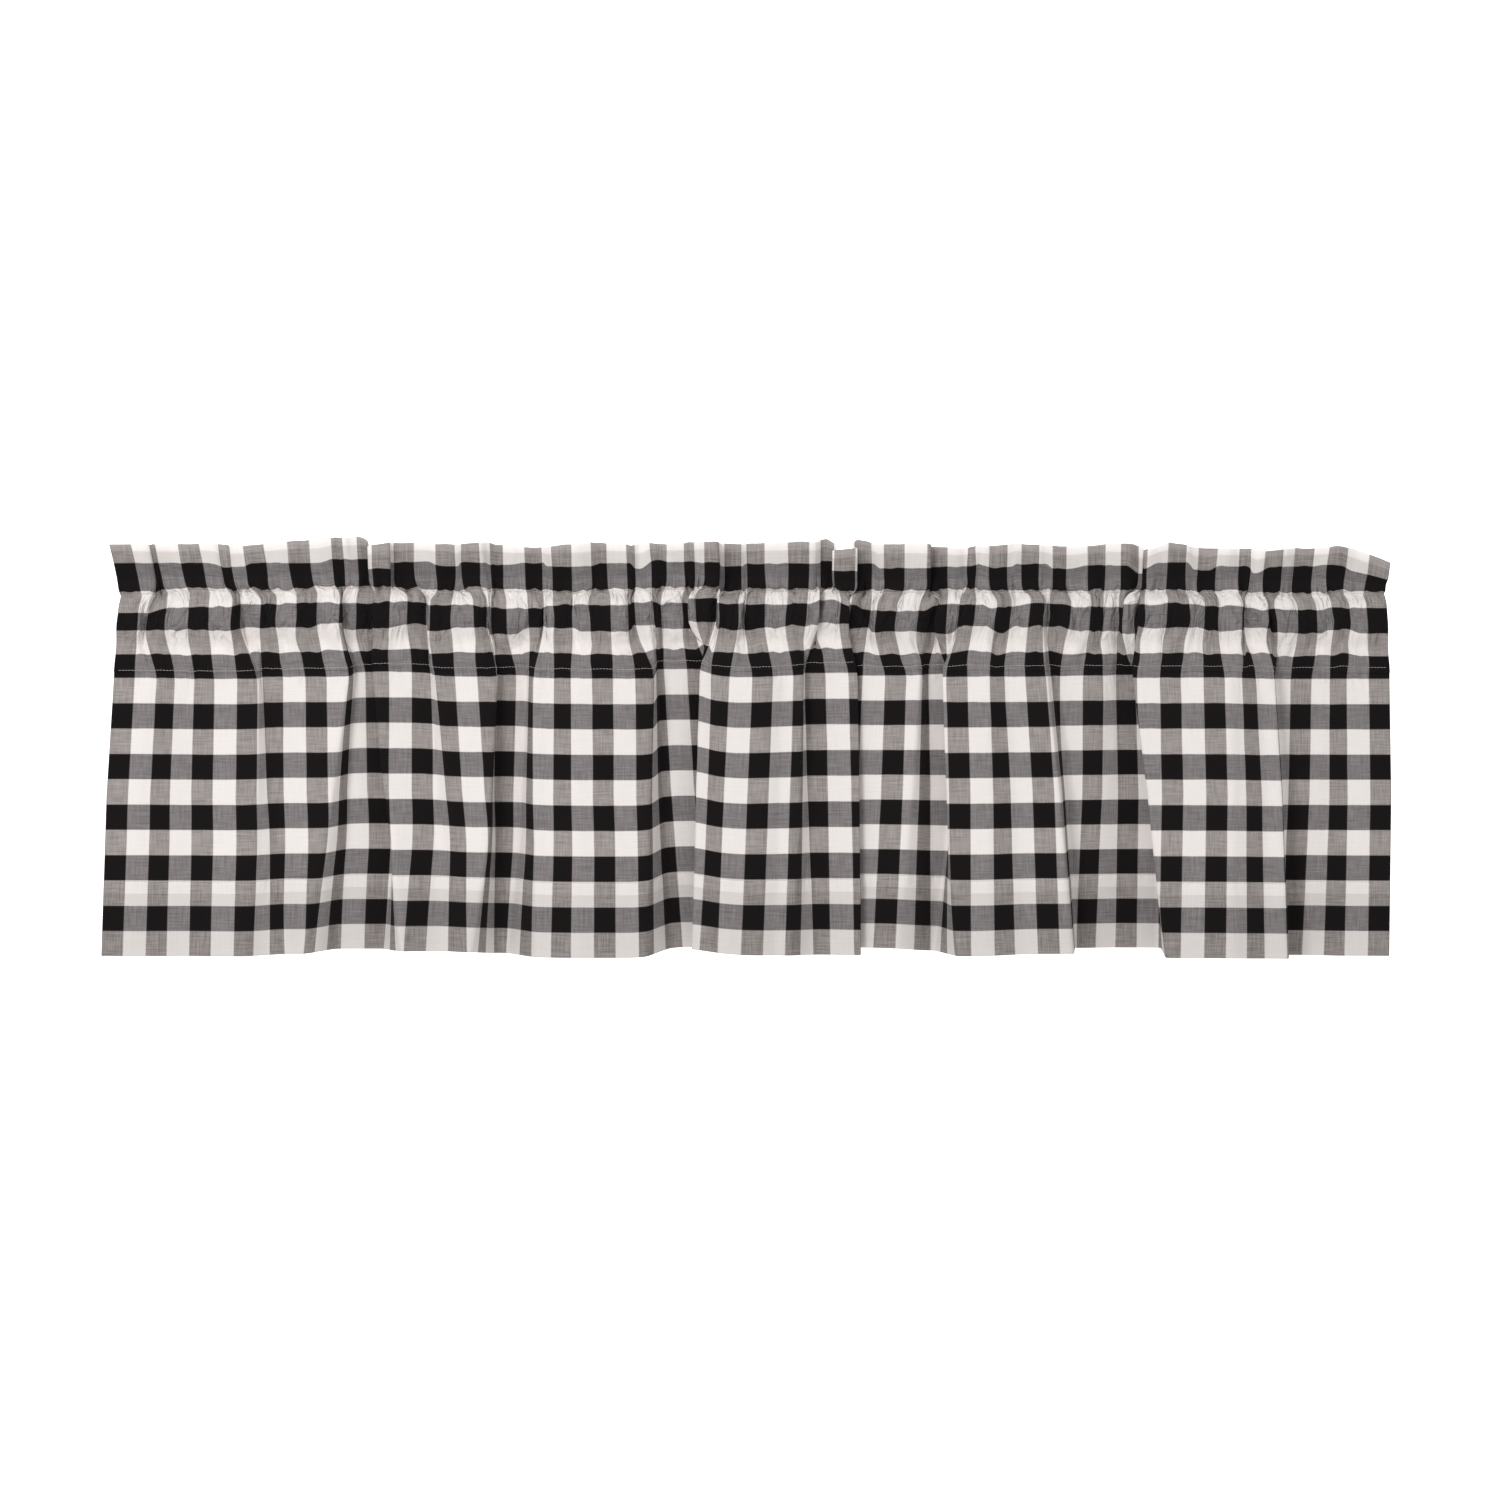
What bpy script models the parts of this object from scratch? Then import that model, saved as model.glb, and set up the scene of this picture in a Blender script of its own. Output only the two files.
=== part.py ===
"""A rod-pocket window valance in checked cotton, gathered to two thirds of its cut width.

One length of cloth is turned over at the top and stitched twice across, so that it makes a
standing frill and below it a pocket for a rod, and is turned up in a deep hem at the bottom.
It hangs from its own top edge: z is 0 there, x runs along it and y is 0 in the hanging plane.
Distances in the tables and functions are millimetres; vertices are placed in metres.
"""

import math
from collections import namedtuple

import bmesh
import bpy
import numpy as np

MM = 0.001

# The cut cloth: dark and light check columns side by side, with a dark one at each end.
COLUMNS = 85
DARK_COLUMN = 21.6
LIGHT_COLUMN = 23.2

# Lengths down the cloth from the top edge.
FRILL_STITCH = 47.0
TUNNEL_TOP = 50.0
TUNNEL_END = 112.0
POCKET_STITCH = 132.0
HEM_STITCH = 344.0
BOTTOM = 419.0

CLOTH_THICKNESS = 1.2
HEM_THICKNESS = 2.0
SEAM_GAP = 0.55

# The rod's room in the pocket: how far its layers stand off, and where they do so fully.
POCKET_BULGE = 12.5
ROD_TOP = 67.0
ROD_BOTTOM = 83.0

# Cloth bends round its folds within this length, so that none is a crease. Folds lap over
# themselves in the frill and in the hanging part, but not in the pocket.
BEND_LENGTH = 9.0
LEAST_BEND = 0.1
SOFTENED = 14.0
STEEPEST_IN_POCKET = math.radians(66)
STEEPEST_ELSEWHERE = math.radians(145)
DRAWN_BACK_OVER = 70.0
LARGE_FOLD = 20
FRILL_LAPS_END = 42.0
PANEL_LAPS_START = 128.0
PANEL_LAPS_FULL = 152.0

# The cloth hangs shorter where it climbs over the rod and where the pocket ends.
Climb = namedtuple("Climb", "start end height")
CLIMBS = (Climb(43, 68, 8.0), Climb(118, 144, 3.4))

# How far the right end of the frill flops down, and over what length of cloth.
CORNER_DROOP = 15.0
CORNER_LENGTH = 42.0

# Where six of the check's column edges stand across, at each length down the cloth.
PLACED_COLUMNS = (0, 17, 34, 51, 68, 85)
Across = namedtuple("Across", "down at_0 at_17 at_34 at_51 at_68 at_85")
ACROSS = (
    Across(0, -634, -357, -99, 121, 367, 634),
    Across(50, -622, -355, -97, 121, 366, 627),
    Across(132, -629, -357, -93, 112, 363, 633),
    Across(260, -637, -357, -91, 107, 366, 635),
    Across(419, -642, -350, -84, 99, 364, 633),
)

# How deep the folds stand out of the plane at each length down the cloth, in shares.
Depth = namedtuple("Depth", "down share")
DEPTHS = (
    Depth(0, 0.65),
    Depth(47, 0.30),
    Depth(112, 0.30),
    Depth(132, 0.50),
    Depth(150, 0.60),
    Depth(419, 0.75),
)

# The folds of the hanging part, left to right. A fold stands at a check column, takes up some
# width of cloth, turns it by some degrees, backwards if positive and over itself past 90, and
# the cloth to its right hangs some millimetres higher. Each at the pocket stitch and at the hem.
Fold = namedtuple(
    "Fold", "seam_column hem_column seam_takes hem_takes seam_turn hem_turn seam_lift hem_lift"
)
FOLDS = (
    Fold(3.0, 2.5, 10, 3, 35, 20, -1, 0),
    Fold(7.5, 7.9, 21, 20, 84, 48, 1, 2),
    Fold(12.9, 11.3, 30, 35, 80, 62, 6, 6),
    Fold(15.6, 16.4, 41, 48, -135, -72, 6, 5),
    Fold(19.4, 20.2, 21, 3, -78, -30, 1, 4),
    Fold(23.5, 22.9, 25, 52, 100, 70, 3, 2),
    Fold(26.2, 26.2, 26, 21, -80, -54, 0, -1),
    Fold(33.8, 33.4, 37, 24, 84, 60, 9, 8),
    Fold(38.2, 38.4, 49, 97, -132, -142, 10, 8),
    Fold(39.6, 40.6, 14, 5, -60, -35, 0, 2),
    Fold(45.2, 45.4, 34, 22, 95, 56, 5, 1),
    Fold(49.2, 49.4, 50, 72, 128, 120, 2, 8),
    Fold(54.3, 54.0, 22, 10, 75, 40, 4, 4),
    Fold(57.1, 56.8, 49, 52, -122, -73, 1, 1),
    Fold(60.6, 60.6, 8, 2, 45, 20, 1, 3),
    Fold(63.8, 64.8, 28, 50, 76, 86, 2, 7),
    Fold(67.6, 67.2, 12, 5, 55, 30, 3, 7),
    Fold(70.1, 71.2, 43, 50, -132, -86, 0, -1),
    Fold(76.3, 76.2, 13, 5, 45, 30, -1, -2),
    Fold(78.6, 79.2, 26, 47, 84, 86, -1, 0),
    Fold(82.0, 82.0, 10, 4, -50, -30, -1, 0),
)

# The ruffles of the frill, in the same terms. They fade out down the pocket.
Ruffle = namedtuple("Ruffle", "column takes turn lift")
RUFFLES = (
    Ruffle(1.9, 24, 80, 0),
    Ruffle(7.0, 28, 60, -2),
    Ruffle(12.9, 21, 60, 4),
    Ruffle(15.2, 30, -90, -7),
    Ruffle(17.3, 24, 90, 1),
    Ruffle(21.6, 19, -70, 0),
    Ruffle(23.8, 20, 65, -2),
    Ruffle(27.4, 16, -60, -4),
    Ruffle(30.3, 10, 40, 0),
    Ruffle(32.7, 19, 65, -6),
    Ruffle(35.0, 10, -40, 1),
    Ruffle(37.2, 26, -62, 0),
    Ruffle(39.3, 22, 85, -3),
    Ruffle(41.5, 25, -75, -1),
    Ruffle(45.9, 20, 70, 2),
    Ruffle(47.5, 24, -105, -9),
    Ruffle(49.5, 24, 105, 0),
    Ruffle(51.4, 14, -60, -6),
    Ruffle(54.9, 44, 120, -4),
    Ruffle(58.8, 26, -68, -2),
    Ruffle(61.4, 11, 50, -1),
    Ruffle(63.8, 20, 50, -6),
    Ruffle(67.4, 12, -50, -4),
    Ruffle(70.0, 36, -84, 3),
    Ruffle(73.4, 13, 55, -7),
    Ruffle(77.0, 19, -65, -11),
    Ruffle(79.4, 12, 55, -3),
    Ruffle(81.6, 10, -50, -2),
)

# The breadth of cloth over which its height changes from one fold or ruffle to the next.
FOLD_LIFT_BREADTH = 50.0
RUFFLE_LIFT_BREADTH = 16.0

# The grey that the check averages to.
COTTON_GREY = (0.21, 0.20, 0.20)
COTTON_ROUGHNESS = 0.9

# How the solids are divided: lengths down the cloth, and columns along it.
HEADING_ROWS = (0, 22, FRILL_STITCH, 58, ROD_TOP, ROD_BOTTOM, 97, TUNNEL_END, POCKET_STITCH)
TUNNEL_ROWS = (TUNNEL_TOP, 58, ROD_TOP, ROD_BOTTOM, 97, TUNNEL_END)
HEM_TOP = HEM_STITCH + 2
PANEL_ROWS = (POCKET_STITCH, 165, 210, 275, HEM_STITCH - 2, HEM_TOP, BOTTOM)
CLOTH_STATIONS = 210
BEND_PER_STATION = math.radians(38)
LENGTH_PER_STATION = 26.0
WELD = 1e-7


def smooth_step(value, start, end):
    share = np.clip((np.asarray(value, float) - start) / (end - start), 0.0, 1.0)
    return share * share * (3.0 - 2.0 * share)


def along_cloth(column):
    """The distance from the cloth's left edge to a place given in check columns."""
    column = np.asarray(column, float)
    whole = np.floor(column)
    part = column - whole
    starts_light = whole % 2 == 1
    pairs = np.floor(whole / 2) * (DARK_COLUMN + LIGHT_COLUMN)
    first = np.where(starts_light, DARK_COLUMN, 0.0)
    return pairs + first + part * np.where(starts_light, LIGHT_COLUMN, DARK_COLUMN)


CLOTH_WIDTH = float(along_cloth(COLUMNS))
FINE_STEP = 0.5
FINE = np.arange(0.0, CLOTH_WIDTH + FINE_STEP, FINE_STEP)


def softened(values, breadth):
    """The values along the cloth, averaged over some millimetres of it."""
    steps = round(breadth / FINE_STEP)
    weights = np.hanning(steps + 2)[1:-1]
    return np.convolve(np.pad(values, steps, "edge"), weights / weights.sum(), "same")[steps:-steps]


def turned_by(centre, takes, degrees):
    """How far one fold turns the cloth at each place of FINE: two bends and the run between."""
    turn = math.radians(abs(degrees))
    lost_in_bends = 2 * BEND_LENGTH * (1 - math.sin(turn) / turn)
    run = max(0.0, (takes - lost_in_bends) / (1 - math.cos(turn)))
    bend = BEND_LENGTH * min(1.0, max(LEAST_BEND, takes / lost_in_bends))
    share = np.clip((run / 2 + bend - abs(FINE - centre)) / bend, 0.0, 1.0)
    return math.copysign(turn, degrees) * share


def drawn_back(deep, centres):
    """Depths along the cloth, with each large fold's middle drawn back to the hanging plane."""
    anchors = np.concatenate([[0.0], centres, [CLOTH_WIDTH]])
    offs = np.interp(anchors, FINE, deep)
    offs[0] = 0.0
    return deep - softened(np.interp(FINE, anchors, offs), DRAWN_BACK_OVER)


def lifts(centres, heights, breadth):
    """How high the cloth is held at each place of FINE, changing from fold to fold."""
    result = np.zeros_like(FINE)
    before = 0.0
    for centre, height in zip(centres, heights):
        step = smooth_step(FINE, centre - breadth / 2, centre + breadth / 2)
        result += (height - before) * step
        before = height
    return result


def folds_at(share):
    """Turn, large folds' places and lift below the pocket, from its stitch (0) to the hem (1)."""
    turn = np.zeros_like(FINE)
    centres = []
    large = []
    heights = []
    for fold in FOLDS:
        column = fold.seam_column + share * (fold.hem_column - fold.seam_column)
        takes = fold.seam_takes + share * (fold.hem_takes - fold.seam_takes)
        degrees = fold.seam_turn + share * (fold.hem_turn - fold.seam_turn)
        centre = float(along_cloth(column))
        turn += turned_by(centre, takes, degrees)
        centres.append(centre)
        heights.append(fold.seam_lift + share * (fold.hem_lift - fold.seam_lift))
        if fold.seam_takes + fold.hem_takes > LARGE_FOLD:
            large.append(centre)
    return turn, large, lifts(centres, heights, FOLD_LIFT_BREADTH)


def ruffles():
    """Turn, ruffle places and lift of the frill."""
    centres = [float(along_cloth(ruffle.column)) for ruffle in RUFFLES]
    turn = sum(
        turned_by(centre, ruffle.takes, ruffle.turn)
        for centre, ruffle in zip(centres, RUFFLES)
    )
    heights = [ruffle.lift for ruffle in RUFFLES]
    return turn, centres, lifts(centres, heights, RUFFLE_LIFT_BREADTH)


def drop(down):
    """How far below the top edge the cloth hangs at a length down it."""
    return down - sum(
        climb.height * smooth_step(down, climb.start, climb.end) for climb in CLIMBS
    )


def bulge(down):
    """How far the pocket's layers stand off the hanging plane."""
    rise = smooth_step(down, TUNNEL_TOP, ROD_TOP)
    fall = smooth_step(down, ROD_BOTTOM, TUNNEL_END)
    return POCKET_BULGE * float(rise * (1 - fall))


def crossing(down):
    """One line of cloth across the valance at a length down it: places and the way it faces.

    The cloth keeps its length as it turns, so its places are the sum of its turns, shifted
    evenly between the placed columns. Ruffles change into folds down the pocket, which lies
    straight along the rod.
    """
    share = max(0.0, (down - POCKET_STITCH) / (BOTTOM - POCKET_STITCH))
    fold_turn, fold_places, fold_lift = folds_at(share)
    ruffle_turn, ruffle_places, ruffle_lift = ruffles()
    folded = float(smooth_step(down, FRILL_STITCH, POCKET_STITCH))
    turn = folded * fold_turn + (1 - folded) * ruffle_turn
    lift = fold_lift * float(smooth_step(down, ROD_BOTTOM, POCKET_STITCH))
    lift += ruffle_lift * float(1 - smooth_step(down, 0, FRILL_STITCH))
    laps = float(1 - smooth_step(down, 0, FRILL_LAPS_END))
    laps += float(smooth_step(down, PANEL_LAPS_START, PANEL_LAPS_FULL))
    steepest = STEEPEST_IN_POCKET + laps * (STEEPEST_ELSEWHERE - STEEPEST_IN_POCKET)
    turn = softened(np.clip(turn, -steepest, steepest), SOFTENED)
    across = FINE_STEP * np.cumsum(np.cos(turn))
    deep = FINE_STEP * np.cumsum(np.sin(turn))
    deep = folded * drawn_back(deep, fold_places) + (1 - folded) * drawn_back(deep, ruffle_places)
    deep *= np.interp(down, [row.down for row in DEPTHS], [row.share for row in DEPTHS])
    levels = [row.down for row in ACROSS]
    wanted = [np.interp(down, levels, stands) for stands in list(zip(*ACROSS))[1:]]
    placed = along_cloth(PLACED_COLUMNS)
    across += np.interp(FINE, placed, wanted - np.interp(placed, FINE, across))
    corner = smooth_step(FINE, CLOTH_WIDTH - CORNER_LENGTH, CLOTH_WIDTH)
    height = lift - drop(down) - CORNER_DROOP * corner * (1 - smooth_step(down, 0, FRILL_STITCH))
    along = np.stack([np.gradient(across), np.gradient(deep)], axis=1)
    along /= np.linalg.norm(along, axis=1, keepdims=True)
    backwards = np.stack([-along[:, 1], along[:, 0]], axis=1)
    return np.stack([across, deep, height], axis=1), backwards


def places(line, stations, forward, outward):
    """Points of a line at the stations along the cloth, moved in y and out along its own face."""
    points, backwards = line
    moved = points.copy()
    moved[:, :2] += outward * backwards
    moved[:, 1] += forward
    return np.stack([np.interp(stations, FINE, moved[:, axis]) for axis in range(3)], axis=1) * MM


def stations():
    """Places along the cloth for the meshes' columns, closer where the cloth turns."""
    turns = [folds_at(share)[0] for share in (0.0, 0.5, 1.0)] + [ruffles()[0]]
    need = np.full_like(FINE, FINE_STEP / LENGTH_PER_STATION)
    for turn in turns:
        need += abs(np.gradient(softened(turn, SOFTENED))) / BEND_PER_STATION / len(turns)
    total = np.cumsum(need)
    return np.interp(np.linspace(total[0], total[-1], CLOTH_STATIONS), total, FINE)


def grid_mesh(rings, closed):
    """A bmesh grid with one row for each ring of points, joined into a tube where closed."""
    bm = bmesh.new()
    rows = len(rings)
    columns = len(rings[0])
    made = bmesh.ops.create_grid(bm, x_segments=columns - 1, y_segments=rows - 1, size=1.0)
    for vert in made["verts"]:
        column = round((vert.co.x + 1) / 2 * (columns - 1))
        row = round((vert.co.y + 1) / 2 * (rows - 1))
        vert.co = rings[row][column]
    if closed:
        bmesh.ops.remove_doubles(bm, verts=bm.verts[:], dist=WELD)
    return bm


def add_object(name, bm, material, collection):
    mesh = bpy.data.meshes.new(name)
    bm.to_mesh(mesh)
    bm.free()
    mesh.materials.append(material)
    mesh.shade_smooth()
    thing = bpy.data.objects.new(name, mesh)
    collection.objects.link(thing)
    return thing


def cotton(name):
    material = bpy.data.materials.new(name)
    material.use_nodes = True
    shader = material.node_tree.nodes["Principled BSDF"]
    shader.inputs["Base Color"].default_value = (*COTTON_GREY, 1.0)
    shader.inputs["Roughness"].default_value = COTTON_ROUGHNESS
    shader.inputs["Metallic"].default_value = 0.0
    return material


def make_heading(collection, along):
    """The frill and the pocket: two layers of cloth, apart round the rod's tunnel."""
    lines = {down: crossing(down) for down in set(HEADING_ROWS) | set(TUNNEL_ROWS)}
    thick = CLOTH_THICKNESS
    front = [places(lines[down], along, -bulge(down), -thick) for down in HEADING_ROWS]
    back = [places(lines[down], along, bulge(down), thick) for down in HEADING_ROWS]
    skin = grid_mesh(front + back[::-1] + front[:1], closed=True)
    tunnel_front = [places(lines[down], along, -bulge(down), 0.0) for down in TUNNEL_ROWS]
    tunnel_back = [places(lines[down], along, bulge(down), 0.0) for down in TUNNEL_ROWS]
    tunnel = grid_mesh(tunnel_back + tunnel_front[-2::-1], closed=True)
    inner = bpy.data.meshes.new("tunnel")
    tunnel.to_mesh(inner)
    tunnel.free()
    skin.from_mesh(inner)
    bpy.data.meshes.remove(inner)
    for end in (0, -1):
        edge_x = lines[POCKET_STITCH][0][end, 0]
        rim = [
            edge
            for edge in skin.edges
            if edge.is_boundary and edge.verts[0].co.x * edge_x > 0
        ]
        bmesh.ops.bridge_loops(skin, edges=rim)
    bmesh.ops.recalc_face_normals(skin, faces=skin.faces[:])
    bmesh.ops.triangulate(skin, faces=skin.faces[:])
    return add_object("heading", skin, cotton("gathered_cotton"), collection)


def make_panel(collection, along):
    """The hanging part below the pocket, one layer of cloth that is thicker in its hem."""
    rings = [places(crossing(down), along, 0.0, 0.0) for down in PANEL_ROWS]
    rings[0][:, 2] -= SEAM_GAP * MM
    bm = grid_mesh(rings, closed=False)
    bmesh.ops.recalc_face_normals(bm, faces=bm.faces[:])
    in_hem = range(PANEL_ROWS.index(HEM_TOP) * len(along), len(PANEL_ROWS) * len(along))
    panel = add_object("panel", bm, cotton("hanging_cotton"), collection)
    hem = panel.vertex_groups.new(name="hem")
    hem.add(list(in_hem), 1.0, "REPLACE")
    wall = panel.modifiers.new("cloth", "SOLIDIFY")
    wall.thickness = HEM_THICKNESS * MM
    wall.offset = 0.0
    wall.vertex_group = hem.name
    wall.thickness_vertex_group = CLOTH_THICKNESS / HEM_THICKNESS
    return panel


def main():
    for thing in list(bpy.data.objects):
        bpy.data.objects.remove(thing)
    collection = bpy.data.collections.new("window_valance")
    bpy.context.scene.collection.children.link(collection)
    along = stations()
    make_heading(collection, along)
    make_panel(collection, along)


main()
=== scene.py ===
import math
from collections import namedtuple

import bmesh
import bpy
import numpy as np
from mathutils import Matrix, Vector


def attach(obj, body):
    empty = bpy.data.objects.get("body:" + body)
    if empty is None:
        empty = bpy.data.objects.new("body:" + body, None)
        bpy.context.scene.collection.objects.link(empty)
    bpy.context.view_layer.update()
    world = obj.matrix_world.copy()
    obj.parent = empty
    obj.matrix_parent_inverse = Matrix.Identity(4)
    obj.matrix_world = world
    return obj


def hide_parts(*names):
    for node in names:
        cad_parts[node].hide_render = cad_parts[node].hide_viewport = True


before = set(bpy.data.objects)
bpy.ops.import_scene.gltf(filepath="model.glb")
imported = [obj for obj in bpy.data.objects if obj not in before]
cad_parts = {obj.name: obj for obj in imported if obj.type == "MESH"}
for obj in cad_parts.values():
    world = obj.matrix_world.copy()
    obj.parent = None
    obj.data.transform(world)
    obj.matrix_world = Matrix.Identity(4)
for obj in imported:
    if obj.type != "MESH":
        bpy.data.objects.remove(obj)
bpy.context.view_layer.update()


# The heading: the top of one length of yarn-dyed check cotton, turned over to the back and stitched
# twice across, under a standing frill and under an open rod pocket. It is two layers of cloth,
# gathered to two thirds of the cut width. Lengths are millimetres of flat cloth.

MM = 0.001

# The check's columns across the cloth, dark ones at both ends.
COLUMNS = 85
DARK_COLUMN = 21.6
LIGHT_COLUMN = 23.2

# Places down the cloth, from its top edge: the stitching, the pocket's tunnel with its fullest
# part, and the bottom edge.
FRILL_STITCH = 47.0
TUNNEL_TOP = 50.0
FULLEST_FROM = 67.0
FULLEST_TO = 83.0
TUNNEL_END = 112.0
POCKET_STITCH = 132.0
HEM_STITCH = 344.0
BOTTOM = 419.0

# The cloth hangs shorter by these heights where it goes out over the pocket's tunnel and back in.
Climb = namedtuple("Climb", "start end height")
CLIMBS = (Climb(43, 68, 8.0), Climb(100, 136, 3.4))
POCKET_BULGE = 12.5

# The frill's right corner droops.
CORNER_DROOP = 17.0
CORNER_LENGTH = 60.0
CORNER_CURVE = 1.5

# How folds bend: a bend's length and the least share of it, the length over which turns are
# softened, and the steepest turns. A large fold takes up more than this at the pocket and the hem
# together, and its middle is drawn back to the hanging plane over some length.
BEND_LENGTH = 7.0
LEAST_BEND = 0.1
SOFTENED = 9.0
STEEPEST_IN_POCKET = math.radians(112)
STEEPEST_ELSEWHERE = math.radians(145)
LARGE_FOLD = 20
DRAWN_BACK_OVER = 70.0

# Down to here the frill's ruffles hold, and from here the hanging part's folds.
RUFFLES_KEPT_TO = 34.0
FOLDS_FROM = 150.0

# The cloth's height changes over a breadth at each fold: broadly at a fold that turns less than a
# soft one, narrowly at one that is folded over.
SOFT_FOLD = 70.0
FOLDED_OVER = 90.0
SOFT_LIFT_BREADTH = 84.0
OVER_LIFT_BREADTH = 40.0
RUFFLE_LIFT_BREADTH = 16.0

# Where six of the check's column edges stand across, at each length down the cloth.
PLACED_COLUMNS = (0, 17, 34, 51, 68, 85)
Across = namedtuple("Across", "down at_0 at_17 at_34 at_51 at_68 at_85")
ACROSS = (
    Across(0, -634, -357, -99, 121, 367, 634),
    Across(50, -622, -355, -97, 121, 366, 627),
    Across(132, -629, -357, -93, 112, 363, 633),
    Across(260, -637, -357, -91, 107, 366, 635),
    Across(419, -642, -350, -84, 99, 364, 633),
)

# How deep the folds stand out of the plane at each length down the cloth, in shares.
ShareAt = namedtuple("ShareAt", "down share")
DEPTHS = (
    ShareAt(0, 0.65),
    ShareAt(47, 0.50),
    ShareAt(112, 0.50),
    ShareAt(140, 0.56),
    ShareAt(419, 0.75),
)

# The folds of the hanging part, left to right. A fold stands at a check column, takes up some
# width of cloth, turns it by some degrees, backwards if positive and over itself past 90, and
# the cloth to its right hangs some millimetres higher. Each at the pocket stitch and at the hem.
Fold = namedtuple(
    "Fold", "seam_column hem_column seam_takes hem_takes seam_turn hem_turn seam_lift hem_lift"
)
FOLDS = (
    Fold(3.0, 2.5, 10, 3, 35, 20, -1, 0),
    Fold(7.5, 7.9, 21, 20, 84, 48, 1, 2),
    Fold(12.9, 11.3, 30, 35, 80, 62, 6, 6),
    Fold(15.6, 16.4, 41, 48, -135, -72, 6, 5),
    Fold(19.4, 20.2, 21, 3, -78, -30, 1, 4),
    Fold(23.5, 22.9, 25, 52, 100, 70, 3, 2),
    Fold(26.2, 26.2, 26, 21, -80, -54, 0, -1),
    Fold(28.5, 28.5, 6, 2, -35, -20, -1, -1),
    Fold(33.8, 33.4, 37, 24, 84, 60, 9, 8),
    Fold(38.2, 38.4, 49, 97, -132, -142, 10, 8),
    Fold(39.6, 40.6, 14, 5, -60, -35, 0, 2),
    Fold(43.2, 43.2, 3, 2, 35, 30, 3, 1),
    Fold(45.2, 45.4, 34, 22, 95, 56, 5, 1),
    Fold(49.2, 49.4, 50, 72, 128, 120, 2, 8),
    Fold(54.3, 54.0, 22, 10, 75, 40, 4, 4),
    Fold(57.1, 56.8, 49, 52, -122, -73, 1, 1),
    Fold(60.6, 60.6, 8, 2, 45, 20, 1, 3),
    Fold(63.8, 64.8, 28, 50, 76, 86, 2, 7),
    Fold(67.6, 67.2, 12, 5, 55, 30, 3, 7),
    Fold(70.1, 71.2, 43, 50, -132, -86, 0, -1),
    Fold(76.3, 76.2, 13, 5, 45, 30, -1, -2),
    Fold(78.6, 79.2, 26, 47, 84, 86, -1, 0),
    Fold(82.0, 82.0, 10, 4, -50, -30, -1, 0),
)

# The gathers along the pocket, in the same terms, at one length down the cloth.
GATHERS_AT = 88.0
Gather = namedtuple("Gather", "column takes turn lift")
GATHERS = (
    Gather(1.5, 17, 70, 0),
    Gather(6.6, 17, 70, 3),
    Gather(9.0, 7, -30, 3),
    Gather(11.0, 0.8, 25, 7),
    Gather(12.8, 28, 88, 1),
    Gather(15.6, 28, -100, 3),
    Gather(17.5, 10, -40, 6),
    Gather(19.5, 20, -85, 0),
    Gather(21.0, 0.5, -20, 3),
    Gather(23.4, 34, 75, -4),
    Gather(25.7, 0.8, 25, 4),
    Gather(27.2, 20, -80, 2),
    Gather(29.3, 9, -40, -1),
    Gather(32.3, 20, 75, 5),
    Gather(34.3, 18, 65, 2),
    Gather(37.1, 29, -100, 9),
    Gather(39.5, 21, -90, 1),
    Gather(41.5, 16, 75, 2),
    Gather(43.9, 1.0, -25, 5),
    Gather(46.2, 30, 92, 7),
    Gather(49.0, 34, 110, 3),
    Gather(51.5, 17, -75, -1),
    Gather(55.8, 34, -98, -3),
    Gather(57.9, 16, -60, 4),
    Gather(60.0, 0.5, 20, -2),
    Gather(61.0, 8, 40, 4),
    Gather(63.3, 22, 75, 4),
    Gather(64.9, 0.5, 20, -1),
    Gather(66.8, 14, 45, -1),
    Gather(68.6, 22, -85, -4),
    Gather(70.3, 20, -85, 3),
    Gather(74.0, 12, 45, 0),
    Gather(76.5, 19, 85, 3),
    Gather(78.5, 13, 65, -2),
    Gather(81.5, 11, -50, 1),
    Gather(83.3, 9, -40, -3),
)

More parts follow.
